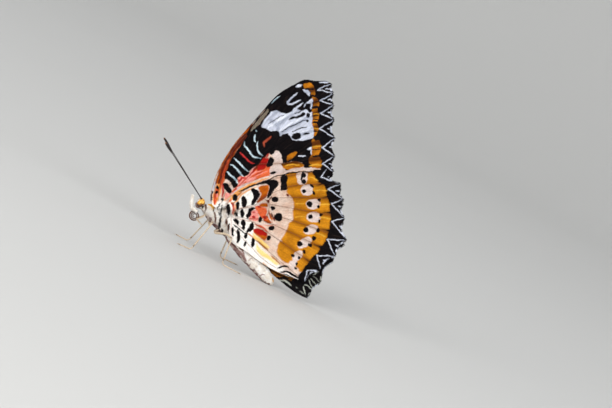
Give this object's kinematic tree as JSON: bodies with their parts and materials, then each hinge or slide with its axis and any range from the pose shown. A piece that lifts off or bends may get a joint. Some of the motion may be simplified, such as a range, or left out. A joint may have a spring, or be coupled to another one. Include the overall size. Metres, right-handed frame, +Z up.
{
  "type": "leopard lacewing butterfly",
  "caption": "Life-size butterfly standing with its wings closed over its back, scalloped hindwings, raised wing veins, clubbed antennae and slender legs.",
  "frame": {"origin": "bottom centre of the insect's box, on the floor that its feet and the tip of its abdomen rest on", "axes": "-X is ahead, towards the head; -Y is the butterfly's left side; +Z is up"},
  "size_m": [0.0578, 0.0198, 0.0576],
  "materials": {
    "body_fur": "short pale hair with black bands",
    "eye": "glossy brown with fine facets",
    "leg": "pale buff horn with fine hair",
    "antenna": "matt black horn",
    "wing": "matt overlapping wing scales in orange, cream, black and white"
  },
  "bodies": {
    "root": {"abdomen": "body_fur", "antenna_left": "antenna", "antenna_right": "antenna", "eye_left": "eye", "eye_right": "eye", "foreleg_left": "leg", "foreleg_right": "leg", "head": "body_fur", "hindleg_left_femur": "leg", "hindleg_left_tarsus": "leg", "hindleg_left_tibia": "leg", "hindleg_right_femur": "leg", "hindleg_right_tarsus": "leg", "hindleg_right_tibia": "leg", "midleg_left_femur": "leg", "midleg_left_tarsus": "leg", "midleg_left_tibia": "leg", "midleg_right_femur": "leg", "midleg_right_tarsus": "leg", "midleg_right_tibia": "leg", "palp_left": "body_fur", "palp_right": "body_fur", "proboscis": "antenna", "thorax": "body_fur", "wing_fore_left": "wing", "wing_fore_right": "wing", "wing_hind_left": "wing", "wing_hind_right": "wing"}
  },
  "joints": []
}
